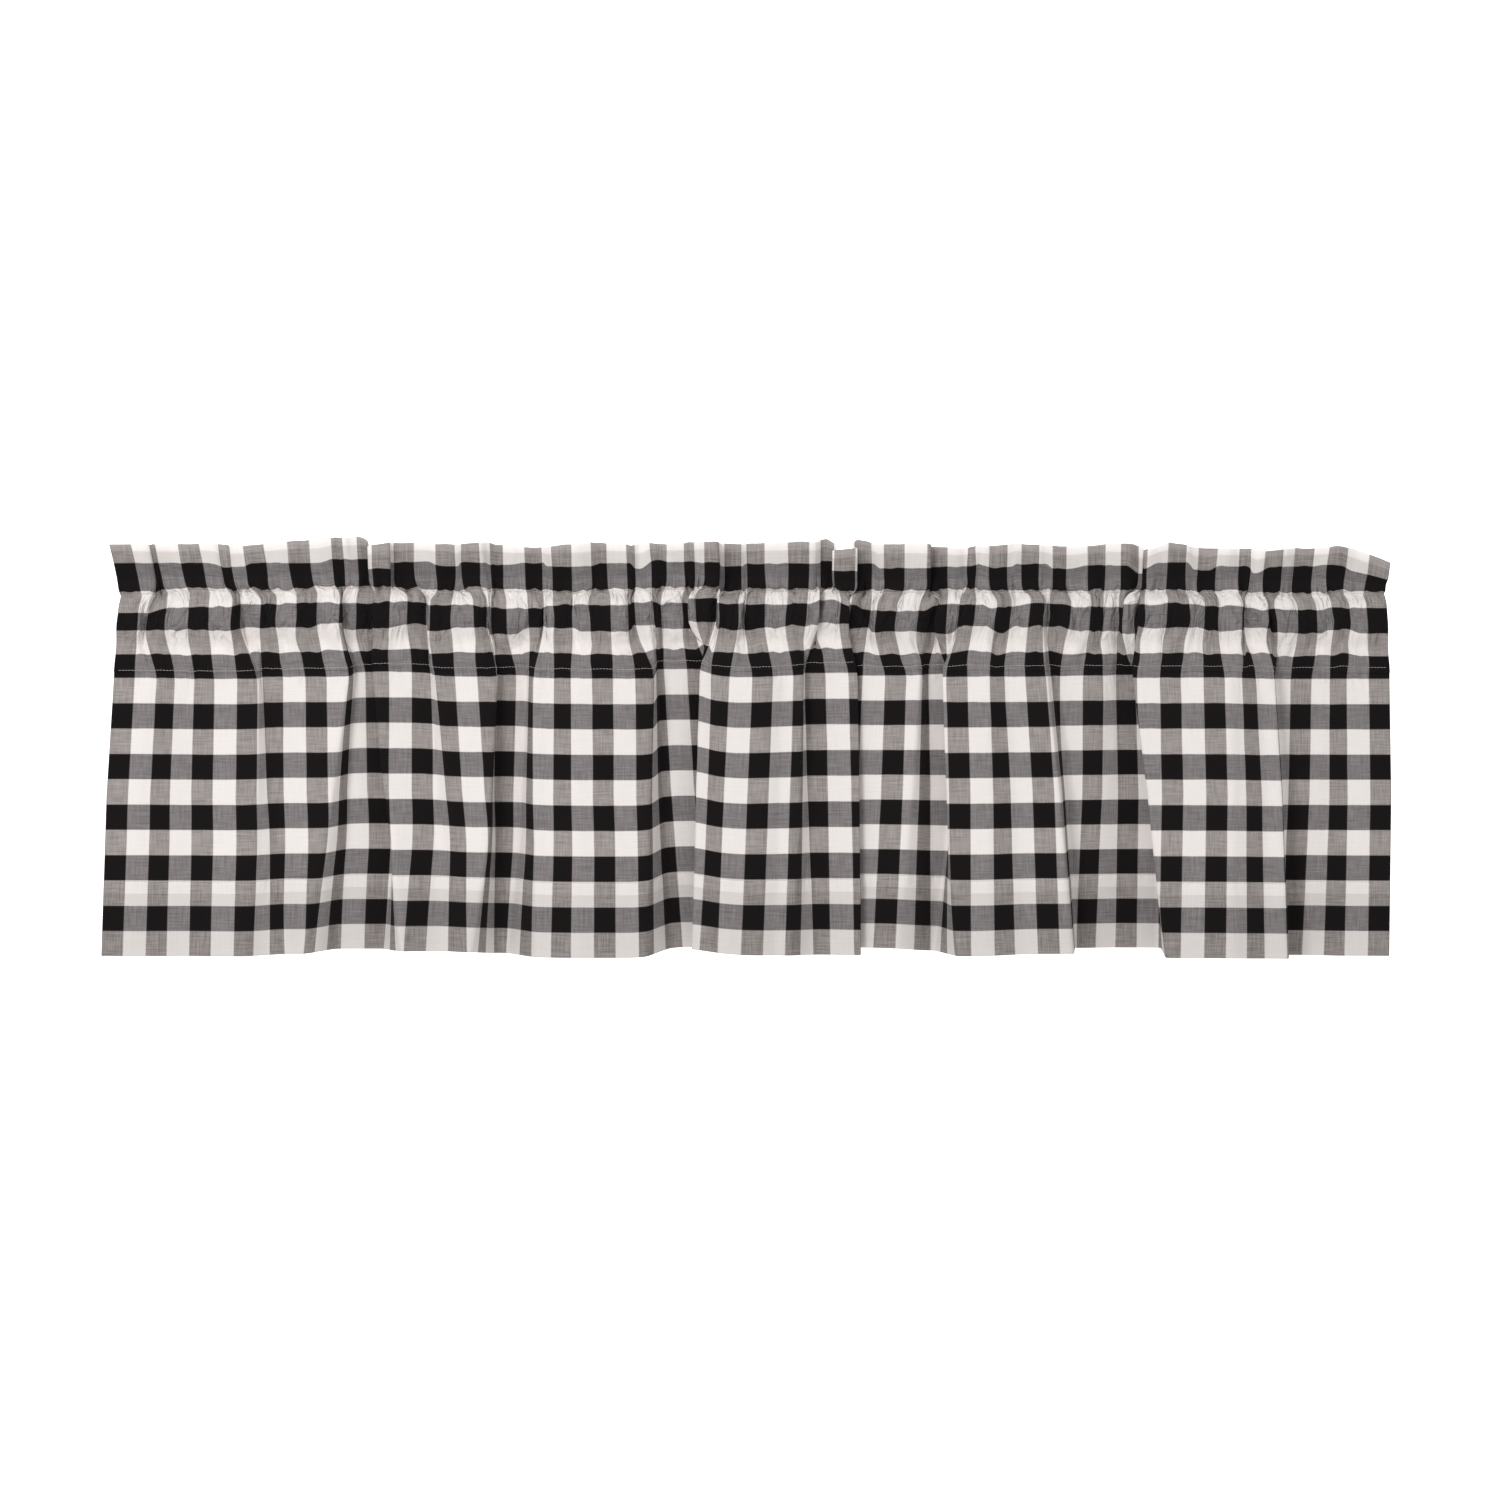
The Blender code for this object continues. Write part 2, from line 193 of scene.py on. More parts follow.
# The ruffles of the frill, in the same terms, with the height of the top edge at each. They fade
# out down the pocket.
Ruffle = namedtuple("Ruffle", "column takes turn lift edge")
EDGE_CORNERS = 5.0
RUFFLES = (
    Ruffle(2.3, 24, 80, 0, 0),
    Ruffle(5.6, 0.8, 25, -5, 1),
    Ruffle(7.0, 28, 60, -4, -1),
    Ruffle(8.1, 0.8, -25, 0, -1),
    Ruffle(11.7, 0.5, 20, 4, 6),
    Ruffle(12.9, 21, 60, 4, 7),
    Ruffle(14.2, 0.5, 20, 4, 8),
    Ruffle(15.2, 30, -90, -7, -4),
    Ruffle(17.3, 24, 90, 1, 3),
    Ruffle(19.9, 0.8, -25, -3, 1),
    Ruffle(21.6, 19, -70, 0, 0),
    Ruffle(23.8, 20, 65, -2, 2),
    Ruffle(25.6, 0.8, 25, 0, -2),
    Ruffle(27.4, 16, -60, -4, -3),
    Ruffle(30.3, 10, 40, 0, 2),
    Ruffle(32.7, 19, 65, -6, -1),
    Ruffle(33.8, 0.8, -25, 3, 2),
    Ruffle(35.0, 10, -40, 1, 0),
    Ruffle(37.2, 26, -62, 0, 3),
    Ruffle(39.3, 22, 85, -3, 2),
    Ruffle(41.5, 25, -75, -1, 0),
    Ruffle(45.9, 20, 70, 2, 3),
    Ruffle(46.6, 0.5, -20, 2, 6),
    Ruffle(47.5, 24, -105, -9, -7),
    Ruffle(49.5, 24, 105, 0, -3),
    Ruffle(50.2, 0.5, 20, 0, 5),
    Ruffle(51.4, 14, -60, -6, 0),
    Ruffle(54.9, 44, 120, -4, 0),
    Ruffle(57.6, 1.5, 30, -3, -4),
    Ruffle(58.8, 26, -68, -2, -1),
    Ruffle(60.0, 0.5, 20, -5, -2),
    Ruffle(61.4, 11, 50, -1, 1),
    Ruffle(63.8, 20, 50, -6, -1),
    Ruffle(65.7, 0.5, -20, -2, -2),
    Ruffle(67.4, 12, -50, -3, 1),
    Ruffle(68.7, 1.5, 30, -11, 0),
    Ruffle(70.0, 36, -84, -6, -6),
    Ruffle(71.2, 0.8, 25, 0, -4),
    Ruffle(72.0, 0.5, 20, 1, 2),
    Ruffle(73.4, 13, 55, -7, -2),
    Ruffle(74.9, 0.8, -25, -3, -4),
    Ruffle(77.0, 19, -65, -11, -4),
    Ruffle(78.0, 0.5, 20, -4, -7),
    Ruffle(79.4, 12, 55, -3, -4),
    Ruffle(81.6, 10, -50, -2, -3),
    Ruffle(83.0, 1.5, 30, -6, -1),
)

# The tucks along the frill's stitching: how many millimetres of cloth each draws back, and how
# much higher the cloth to its right is held at the stitches and where the pocket is fullest.
Tuck = namedtuple("Tuck", "column sinks stitch_lift pocket_lift")
TUCK_LIFT_BREADTH = 20.0
TUCKS = (
    Tuck(-0.4, 0, -3, -8),
    Tuck(2.6, 5, 1, -2),
    Tuck(6.4, 6, 0, 1),
    Tuck(10.0, 2, 2, 3),
    Tuck(12.6, 5, 3, 2),
    Tuck(16.3, 6, 2, 3),
    Tuck(19.2, 4, -1, 0),
    Tuck(22.0, 5, 1, -2),
    Tuck(24.4, 3, 0, -3),
    Tuck(27.5, 5, -2, 0),
    Tuck(30.1, 4, 0, 0),
    Tuck(32.7, 4, 1, 3),
    Tuck(34.6, 5, 2, 2),
    Tuck(37.4, 4, 2, 7),
    Tuck(39.4, 6, -1, 2),
    Tuck(41.2, 4, 0, 1),
    Tuck(45.4, 4, 2, 5),
    Tuck(48.0, 7, -2, -1),
    Tuck(50.6, 5, -1, -6),
    Tuck(54.6, 6, -2, 0),
    Tuck(56.6, 4, 0, 1),
    Tuck(59.2, 3, -1, -2),
    Tuck(61.4, 3, -1, 1),
    Tuck(65.0, 4, -1, -2),
    Tuck(69.0, 7, -1, 1),
    Tuck(73.6, 5, -2, -1),
    Tuck(77.0, 6, -3, -4),
    Tuck(81.4, 4, -2, -3),
)

# Lengths down the cloth at which each table's heights hold: the ruffles' two, the tucks' two, the
# gathers' and the folds'.
LIFTED_AT = (0.0, 16.0, 44.0, 68.0, 93.0, 143.0)


def smooth_step(value, start, end):
    """A share that rises smoothly from 0 at the start to 1 at the end."""
    share = np.clip((np.asarray(value, float) - start) / (end - start), 0.0, 1.0)
    return share * share * (3.0 - 2.0 * share)


def share_at(down, table):
    """The share that a table gives at a length down the cloth."""
    return np.interp(down, [row.down for row in table], [row.share for row in table])


def along_cloth(column):
    """The distance from the cloth's left edge to a place given in check columns."""
    column = np.asarray(column, float)
    whole = np.floor(column)
    part = column - whole
    starts_light = whole % 2 == 1
    pairs = np.floor(whole / 2) * (DARK_COLUMN + LIGHT_COLUMN)
    first = np.where(starts_light, DARK_COLUMN, 0.0)
    return pairs + first + part * np.where(starts_light, LIGHT_COLUMN, DARK_COLUMN)


CLOTH_WIDTH = float(along_cloth(COLUMNS))
FINE_STEP = 0.5
FINE = np.arange(0.0, CLOTH_WIDTH + FINE_STEP, FINE_STEP)


def softened(values, breadth):
    """The values along the cloth, averaged over some millimetres of it."""
    steps = round(breadth / FINE_STEP)
    weights = np.hanning(steps + 2)[1:-1]
    return np.convolve(np.pad(values, steps, "edge"), weights / weights.sum(), "same")[steps:-steps]


def turned_by(centre, takes, degrees):
    """How far one fold turns the cloth at each place of FINE: two bends and the run between."""
    turn = math.radians(abs(degrees))
    lost_in_bends = 2 * BEND_LENGTH * (1 - math.sin(turn) / turn)
    run = max(0.0, (takes - lost_in_bends) / (1 - math.cos(turn)))
    bend = BEND_LENGTH * min(1.0, max(LEAST_BEND, takes / lost_in_bends))
    share = np.clip((run / 2 + bend - abs(FINE - centre)) / bend, 0.0, 1.0)
    return math.copysign(turn, degrees) * share


def drawn_back(deep, centres):
    """Depths along the cloth, with each large fold's middle drawn back to the hanging plane."""
    anchors = np.concatenate([[0.0], centres, [CLOTH_WIDTH]])
    offs = np.interp(anchors, FINE, deep)
    offs[0] = 0.0
    return deep - softened(np.interp(FINE, anchors, offs), DRAWN_BACK_OVER)


def lifts(centres, heights, breadths):
    """How high the cloth is held at each place of FINE, changing over a breadth at each fold."""
    result = np.zeros_like(FINE)
    before = 0.0
    for centre, height, breadth in zip(centres, heights, breadths):
        step = smooth_step(FINE, centre - breadth / 2, centre + breadth / 2)
        result += (height - before) * step
        before = height
    return result


def folds_at(share):
    """Turn, large folds' places and lift below the pocket, from its stitch (0) to the hem (1)."""
    turn = np.zeros_like(FINE)
    centres = []
    large = []
    heights = []
    breadths = []
    for fold in FOLDS:
        column = fold.seam_column + share * (fold.hem_column - fold.seam_column)
        takes = fold.seam_takes + share * (fold.hem_takes - fold.seam_takes)
        degrees = fold.seam_turn + share * (fold.hem_turn - fold.seam_turn)
        centre = float(along_cloth(column))
        turn += turned_by(centre, takes, degrees)
        centres.append(centre)
        heights.append(fold.seam_lift + share * (fold.hem_lift - fold.seam_lift))
        over = float(smooth_step(abs(degrees), SOFT_FOLD, FOLDED_OVER))
        breadths.append(SOFT_LIFT_BREADTH + over * (OVER_LIFT_BREADTH - SOFT_LIFT_BREADTH))
        if fold.seam_takes + fold.hem_takes > LARGE_FOLD:
            large.append(centre)
    return turn, large, lifts(centres, heights, breadths)


def small_folds(table):
    """Turn, places and lift of the frill's ruffles or of the gathers along the pocket."""
    centres = [float(along_cloth(row.column)) for row in table]
    turn = sum(turned_by(centre, row.takes, row.turn) for centre, row in zip(centres, table))
    heights = [row.lift for row in table]
    return turn, centres, lifts(centres, heights, [RUFFLE_LIFT_BREADTH] * len(table))


def lift_at(down, fold_lift):
    """How high the cloth is held at each place of FINE, from table to table down the cloth."""
    tucks = [float(along_cloth(tuck.column)) for tuck in TUCKS]
    breadths = [TUCK_LIFT_BREADTH] * len(TUCKS)
    ruffles = [float(along_cloth(ruffle.column)) for ruffle in RUFFLES]
    profiles = [
        softened(np.interp(FINE, ruffles, [ruffle.edge for ruffle in RUFFLES]), EDGE_CORNERS),
        small_folds(RUFFLES)[2],
        lifts(tucks, [tuck.stitch_lift for tuck in TUCKS], breadths),
        lifts(tucks, [tuck.pocket_lift for tuck in TUCKS], breadths),
        small_folds(GATHERS)[2],
        fold_lift,
    ]
    weights = [np.interp(down, LIFTED_AT, row) for row in np.eye(len(LIFTED_AT))]
    return sum(weight * profile for weight, profile in zip(weights, profiles))


def drop(down):
    """How far below the top edge the cloth hangs at a length down it."""
    return down - sum(
        climb.height * smooth_step(down, climb.start, climb.end) for climb in CLIMBS
    )


def bulge(down):
    """How far the pocket's layers stand off the hanging plane."""
    rise = smooth_step(down, TUNNEL_TOP, FULLEST_FROM)
    fall = smooth_step(down, FULLEST_TO, TUNNEL_END)
    return POCKET_BULGE * float(rise * (1 - fall))


# Puckers where a row of stitches draws the cloth in: small arches side by side with sharp tucks
# between them, fullest a few millimetres above and below the stitches. They ride up with the
# cloth above the stitches and down with it below, and the stitches lie in a groove.
Pucker = namedtuple("Pucker", "stitch seed least most high fullest reach")
FRILL_PUCKERS = Pucker(FRILL_STITCH, 11, 6.0, 17.0, 0.30, 5.5, 7.0)
POCKET_PUCKERS = Pucker(POCKET_STITCH, 12, 6.0, 15.0, 0.09, 4.0, 5.0)
HEM_PUCKERS = Pucker(HEM_STITCH, 13, 9.0, 24.0, 0.05, 4.0, 5.0)
PUCKER_ROWS = (FRILL_PUCKERS, POCKET_PUCKERS, HEM_PUCKERS)
ARCH_POWER = 2.6
ARCH_SOFTENED = 1.6
PUCKER_RIDES = 0.7
GROOVE = 0.5
GROOVE_BREADTH = 1.6


def pucker_arches(row):
    """Heights of one row's puckers at each place of FINE."""
    draw = np.random.default_rng(row.seed)
    tucks = [-draw.uniform(row.least, row.most)]
    while tucks[-1] < CLOTH_WIDTH:
        tucks.append(tucks[-1] + draw.uniform(row.least, row.most))
    tucks = np.array(tucks)
    after = np.clip(np.searchsorted(tucks, FINE), 1, len(tucks) - 1)
    breadth = tucks[after] - tucks[after - 1]
    across_arch = 2 * (FINE - tucks[after - 1]) / breadth - 1
    return softened(row.high * breadth * (1 - abs(across_arch) ** ARCH_POWER), ARCH_SOFTENED)


ARCHES = {row.stitch: pucker_arches(row) for row in PUCKER_ROWS}


def puckered(down, row):
    """How far one row's puckers stand out at each place of FINE, and how far they ride up."""
    off = down - row.stitch
    out = ARCHES[row.stitch] * math.exp(-(((abs(off) - row.fullest) / row.reach) ** 2))
    return out, out * PUCKER_RIDES * math.tanh(off / row.fullest)


# Small uneven pulls in the gathered cloth: how far it is drawn across, back and up or down at
# each place, strongest along the pocket, faint below it and none at the two ends.
PULLED_AT = np.arange(0.0, 460.0, 21.0)
PULL_BREADTH = 16.0
PULLED_ACROSS = 0.8
PULLED_BACK = 1.6
PULLED_UP = 0.8
FREE_END = 45.0
PULL_SHARES = (
    ShareAt(0, 0.3),
    ShareAt(30, 0.5),
    ShareAt(55, 1.0),
    ShareAt(118, 1.0),
    ShareAt(145, 0.15),
    ShareAt(419, 0.0),
)


def uneven_rows(seed):
    """One smooth uneven line along FINE for each length of PULLED_AT, about one either way."""
    draw = np.random.default_rng(seed)
    rows = [softened(draw.normal(size=FINE.size), PULL_BREADTH) for _ in PULLED_AT]
    from_end = np.minimum(FINE, CLOTH_WIDTH - FINE)
    return np.array(rows) / np.std(rows) * smooth_step(from_end, 0.0, FREE_END)


PULLS = (
    PULLED_ACROSS * uneven_rows(21),
    PULLED_BACK * uneven_rows(22),
    PULLED_UP * uneven_rows(23),
)


def pulled(down):
    """How far the cloth is pulled across, back and up at each place of FINE."""
    share = share_at(down, PULL_SHARES)
    above = np.searchsorted(PULLED_AT, down, side="right") - 1
    part = smooth_step(down, PULLED_AT[above], PULLED_AT[above + 1])
    return [share * ((1 - part) * pull[above] + part * pull[above + 1]) for pull in PULLS]


# Creases in the pocket, where the gathers spread out below the frill's stitching: each a soft
# trough between two places of the cloth, some millimetres wide and deep. The front layer takes
# one alone while it is no deeper than some share of the pocket's bulge.
Crease = namedtuple("Crease", "top_column top_down low_column low_down width depth")
CREASES = (
    Crease(2.2, 50, 1.7, 108, 3.5, 5),
    Crease(6.9, 60, 7.5, 124, 3.5, 6),
    Crease(12.6, 48, 13.4, 126, 4, 7),
    Crease(15.4, 50, 16.2, 126, 4, 6),
    Crease(19.2, 58, 19.8, 130, 3.5, 6),
    Crease(22.8, 60, 23.7, 130, 3.5, 6),
    Crease(27.2, 50, 26.6, 118, 4, 5),
    Crease(33.0, 50, 34.2, 112, 4, 6),
    Crease(37.2, 50, 37.6, 124, 4, 6),
    Crease(41.8, 54, 41.2, 110, 4, 4),
    Crease(47.2, 48, 46.2, 122, 4, 7),
    Crease(50.2, 50, 51.4, 98, 3.5, 6),
    Crease(55.0, 54, 54.6, 124, 4, 6),
    Crease(58.6, 50, 58.0, 104, 4, 4),
    Crease(63.6, 52, 64.0, 118, 4, 5),
    Crease(69.9, 46, 70.0, 120, 4.5, 7),
    Crease(76.8, 50, 77.4, 112, 4, 5),
    Crease(78.0, 60, 79.4, 128, 4, 6),
)
CREASES_TAKE = 1.5
CREASE_FULLNESS = 0.7


def creased(down):
    """How far the creases draw the cloth back at each place of FINE."""
    deep = np.zeros_like(FINE)
    for crease in CREASES:
        share = (down - crease.top_down) / (crease.low_down - crease.top_down)
        if 0.0 < share < 1.0:
            column = crease.top_column + share * (crease.low_column - crease.top_column)
            off = (FINE - float(along_cloth(column))) / crease.width
            full = math.sin(math.pi * share) ** CREASE_FULLNESS
            deep += crease.depth * full * np.exp(-off * off)
    return deep


TUCK_BREADTH = 3.0
TUCK_REACH = 13.0


def tucked(down):
    """How far the tucks along the frill's stitching draw the cloth back at each place of FINE."""
    deep = np.zeros_like(FINE)
    for tuck in TUCKS:
        off = (FINE - float(along_cloth(tuck.column))) / TUCK_BREADTH
        deep += tuck.sinks * np.exp(-off * off)
    return deep * math.exp(-(((down - FRILL_STITCH) / TUCK_REACH) ** 2))


def worked_crease(down):
    """How far back the creases draw the front layer alone, and no further than the layer behind."""
    return np.minimum(creased(down), CREASES_TAKE * bulge(down))


def worked(down):
    """How far back the cloth of the front lies for its creases, puckers and stitched grooves."""
    deep = creased(down)
    for row in PUCKER_ROWS:
        deep -= puckered(down, row)[0]
        deep += GROOVE * math.exp(-(((down - row.stitch) / GROOVE_BREADTH) ** 2))
    return deep


def settled(turn, centres, steepest, down):
    """Places across and behind of cloth with these turns, as it lies at a length down it.

    Its places are the sum of its turns, with the depth drawn in to a share, and shifted evenly
    across between the placed columns.
    """
    turn = softened(np.clip(turn, -steepest, steepest), SOFTENED)
    across = FINE_STEP * np.cumsum(np.cos(turn))
    deep = drawn_back(FINE_STEP * np.cumsum(np.sin(turn)), centres)
    deep *= share_at(down, DEPTHS)
    levels = [row.down for row in ACROSS]
    wanted = [np.interp(down, levels, stands) for stands in list(zip(*ACROSS))[1:]]
    placed = along_cloth(PLACED_COLUMNS)
    across += np.interp(FINE, placed, wanted - np.interp(placed, FINE, across))
    return np.stack([across, deep])


def crossing(down):
    """One line of cloth across the valance at a length down it: places and the way it faces.

    The ruffles of the frill change into the gathers along the pocket, and these into the folds of
    the hanging part.
    """
    share = max(0.0, (down - POCKET_STITCH) / (BOTTOM - POCKET_STITCH))
    fold_turn, fold_places, fold_lift = folds_at(share)
    ruffled = float(1 - smooth_step(down, RUFFLES_KEPT_TO, FULLEST_FROM))
    folded = float(smooth_step(down, GATHERS_AT, FOLDS_FROM))
    lies = folded * settled(fold_turn, fold_places, STEEPEST_ELSEWHERE, down)
    if folded < 1:
        turn, centres, _ = small_folds(RUFFLES)
        lies += ruffled * settled(turn, centres, STEEPEST_ELSEWHERE, down)
        turn, centres, _ = small_folds(GATHERS)
        lies += (1 - ruffled - folded) * settled(turn, centres, STEEPEST_IN_POCKET, down)
    across, deep = lies
    corner = np.clip((FINE - CLOTH_WIDTH) / CORNER_LENGTH + 1, 0, 1) ** CORNER_CURVE
    height = lift_at(down, fold_lift) - drop(down)
    height -= CORNER_DROOP * corner * (1 - smooth_step(down, 0, FRILL_STITCH))
    for row in PUCKER_ROWS:
        height += puckered(down, row)[1]
    pulled_across, pulled_back, pulled_up = pulled(down)
    across = across + pulled_across
    deep = deep + tucked(down) + pulled_back
    height += pulled_up
    along = np.stack([np.gradient(across), np.gradient(deep)], axis=1)
    along /= np.linalg.norm(along, axis=1, keepdims=True)
    backwards = np.stack([-along[:, 1], along[:, 0]], axis=1)
    return np.stack([across, deep, height], axis=1), backwards


def places(line, stations, forward, outward):
    """Points of a line at the stations along the cloth, moved in y and out along its own face."""
    points, backwards = line
    at = [np.interp(stations, FINE, points[:, axis]) for axis in range(3)]
    face = [np.interp(stations, FINE, backwards[:, axis]) for axis in range(2)]
    moved = [at[0] + outward * face[0], at[1] + outward * face[1] + forward, at[2]]
    return np.stack(moved, axis=1) * MM


# The meshes' columns: closer where the cloth turns, and a few in the side hems, which are turned
# in to the back by the first of the steps and stitched down.
SIDE_STEPS = (9.0, 6.0, 3.0, 1.2)
SIDE_HEM = SIDE_STEPS[0]
CLOTH_COLUMNS = 880
BEND_PER_COLUMN = math.radians(8)
LENGTH_PER_COLUMN = 4.2


def column_places():
    """Places along the cloth for the meshes' columns, closer where the cloth turns."""
    turns = [folds_at(share)[0] for share in (0.0, 0.5, 1.0)]
    turns += [small_folds(table)[0] for table in (RUFFLES, GATHERS)]
    need = np.full_like(FINE, FINE_STEP / LENGTH_PER_COLUMN)
    for turn in turns:
        need += abs(np.gradient(softened(turn, SOFTENED))) / BEND_PER_COLUMN / len(turns)
    total = np.cumsum(need)
    return np.interp(np.linspace(total[0], total[-1], CLOTH_COLUMNS), total, FINE)


LEFT_TURN = np.array(SIDE_STEPS)
RIGHT_TURN = CLOTH_WIDTH - LEFT_TURN[::-1]
MIDDLE_COLUMNS = column_places()
BETWEEN_HEMS = abs(MIDDLE_COLUMNS - CLOTH_WIDTH / 2) < CLOTH_WIDTH / 2 - SIDE_HEM
MIDDLE_COLUMNS = MIDDLE_COLUMNS[BETWEEN_HEMS]
MAIN_COLUMNS = np.concatenate(
    [[0.0], LEFT_TURN[::-1], MIDDLE_COLUMNS, RIGHT_TURN[::-1], [CLOTH_WIDTH]]
)
PLACED = np.concatenate([LEFT_TURN, MAIN_COLUMNS, RIGHT_TURN])
CUT = np.concatenate([-LEFT_TURN, MAIN_COLUMNS, 2 * CLOTH_WIDTH - RIGHT_TURN])
TURNED_IN = (CUT < 0) | (CUT > CLOTH_WIDTH)


def in_scene(name, data):
    """An object with this mesh, light or camera, linked to the scene."""
    piece = bpy.data.objects.new(name, data)
    bpy.context.scene.collection.objects.link(piece)
    return piece


def cloth_sheet(name, rings, cut_rows):
    """A sheet of cloth with one ring of points for each row, and a map of the flat cloth.

    The map's u runs along the cut cloth and its v down it, both in metres.
    """
    rows = len(rings)
    columns = len(rings[0])
    bm = bmesh.new()
    bmesh.ops.create_grid(bm, x_segments=columns - 1, y_segments=rows - 1, size=1.0)
    mesh = bpy.data.meshes.new(name)
    bm.to_mesh(mesh)
    bm.free()
    flat = np.empty(len(mesh.vertices) * 3)
    mesh.vertices.foreach_get("co", flat)
    flat = flat.reshape(-1, 3)
    column = np.rint((flat[:, 0] + 1) / 2 * (columns - 1)).astype(int)
    row = np.rint((flat[:, 1] + 1) / 2 * (rows - 1)).astype(int)
    mesh.vertices.foreach_set("co", np.array(rings)[row, column].ravel())
    corners = np.empty(len(mesh.loops), int)
    mesh.loops.foreach_get("vertex_index", corners)
    cloth_map = np.stack([CUT[column], np.array(cut_rows)[row]], axis=1) * MM
    mesh.uv_layers.new(name="cloth").data.foreach_set("uv", cloth_map[corners].ravel())
    mesh.shade_smooth()
    mesh.update()
    return in_scene(name, mesh)


# The heading's layers stand this far off the middle, and further over the side hems between them.
# The top edge is round, and the lower edge laps a little past the pocket's stitching.
LAYER = 0.6
SIDE_HEM_ROOM = 0.7
ROOM_FADES_OVER = 8.0
EDGE_ROUND = 2.0
HEADING_END = POCKET_STITCH + 6.0


def heading_rows():
    """Lengths down the cloth for the heading's rows, closer at its edge and its stitching."""
    return np.concatenate([
        [0.0, 0.5, 1.2, EDGE_ROUND],
        np.arange(5.0, 36.0, 3.6),
        np.arange(37.0, FRILL_STITCH - 1.5, 1.7),
        np.arange(FRILL_STITCH - 1.4, FRILL_STITCH + 2.0, 0.7),
        np.arange(FRILL_STITCH + 3.0, 60.0, 1.8),
        np.arange(61.0, 126.0, 3.4),
        POCKET_STITCH + np.array([-4.0, -2.0, -0.7, 0.0, 0.7, 2.0, 4.0]),
        [HEADING_END],
    ])


def side_hem_room(seats):
    """How much further the heading's layers stand off over the side hems at its two ends."""
    from_end = np.minimum(seats, CLOTH_WIDTH - seats)
    return SIDE_HEM_ROOM * (1 - smooth_step(from_end, SIDE_HEM, SIDE_HEM + ROOM_FADES_OVER))


def layer_off(down, side):
    """How far each column of a heading layer stands off the middle: side -1 is the front."""
    rounding = math.sqrt(max(0.0, 1 - (1 - min(1.0, down / EDGE_ROUND)) ** 2))
    off = LAYER + side_hem_room(PLACED)
    return side * rounding * np.where(TURNED_IN, off - SIDE_HEM_ROOM, off)


down_rows = heading_rows()
lines = {down: crossing(down) for down in down_rows}
rings = []
cut_rows = []
for down in down_rows[::-1]:
    pushed = creased(down) - worked_crease(down)
    back = pushed + puckered(down, FRILL_PUCKERS)[0]
    forward = bulge(down) + np.interp(PLACED, FINE, back)
    rings.append(places(lines[down], PLACED, forward, layer_off(down, 1)))
    cut_rows.append(-down)
for down in down_rows[1:]:
    forward = np.interp(PLACED, FINE, worked(down)) - bulge(down)
    rings.append(places(lines[down], PLACED, forward, layer_off(down, -1)))
    cut_rows.append(down)
heading = cloth_sheet("heading_cloth", rings, cut_rows)


# The cloth's finish: yarn-dyed plain-weave cotton, matt, with undyed and black yarns both ways.
UNDYED = "#F2ECE9"
BLACK = "#171314"
GREY_UNDYED_WEFT = "#9D9693"
GREY_BLACK_WEFT = "#837E7E"
FIRST_ROW = 18.3
CHECK_ROW = 25.05
EDGE_BLUR = 0.45

# Single yarns are too fine to show at a step away, so their streaks are drawn four times as wide
# as real ones. They show least in the black and the off-white, and most where the two yarns mix.
YARN_STREAK = 1.6
YARN_LENGTH = 26.0
PLAIN_STREAKS = 0.10
MIXED_STREAKS = 0.80
YARN_RELIEF = 0.4

# Where cloth lies double it is painted darker, as painted shade, and the black rows behind it
# are painted faintly showing through, as painted shade too.
DOUBLED_PAINTED_SHADE = 0.04
BEHIND_PAINTED_SHADE = 0.15
LAYER_BLUR = 0.6

# The last few millimetres at a turned edge are painted lighter, a painted highlight standing in
# for light that comes through there, more with light behind it.
TOP_EDGE_PAINTED_GLOW = 0.22
HEM_EDGE_PAINTED_GLOW = 0.03
EDGE_GLOW_BREADTH = 9.0

# Fine creases where the cloth is drawn in, this far apart and this long.
CREASE_PITCH = 15.0
CREASE_LENGTH = 36.0


def linear(code):
    """An sRGB hex colour as linear red, green and blue, with full alpha."""
    parts = [int(code[start:start + 2], 16) / 255 for start in (1, 3, 5)]
    parts = [c / 12.92 if c <= 0.04045 else ((c + 0.055) / 1.055) ** 2.4 for c in parts]
    return (*parts, 1.0)


def add(tree, kind, sockets, **settings):
    """Adds a node with its settings; a socket's value is a number, a colour or an output."""
    node = tree.nodes.new(kind)
    for name, value in settings.items():
        setattr(node, name, value)
    for socket, value in sockets.items():
        if isinstance(value, bpy.types.NodeSocket):
            tree.links.new(value, node.inputs[socket])
        else:
            node.inputs[socket].default_value = value
    return node


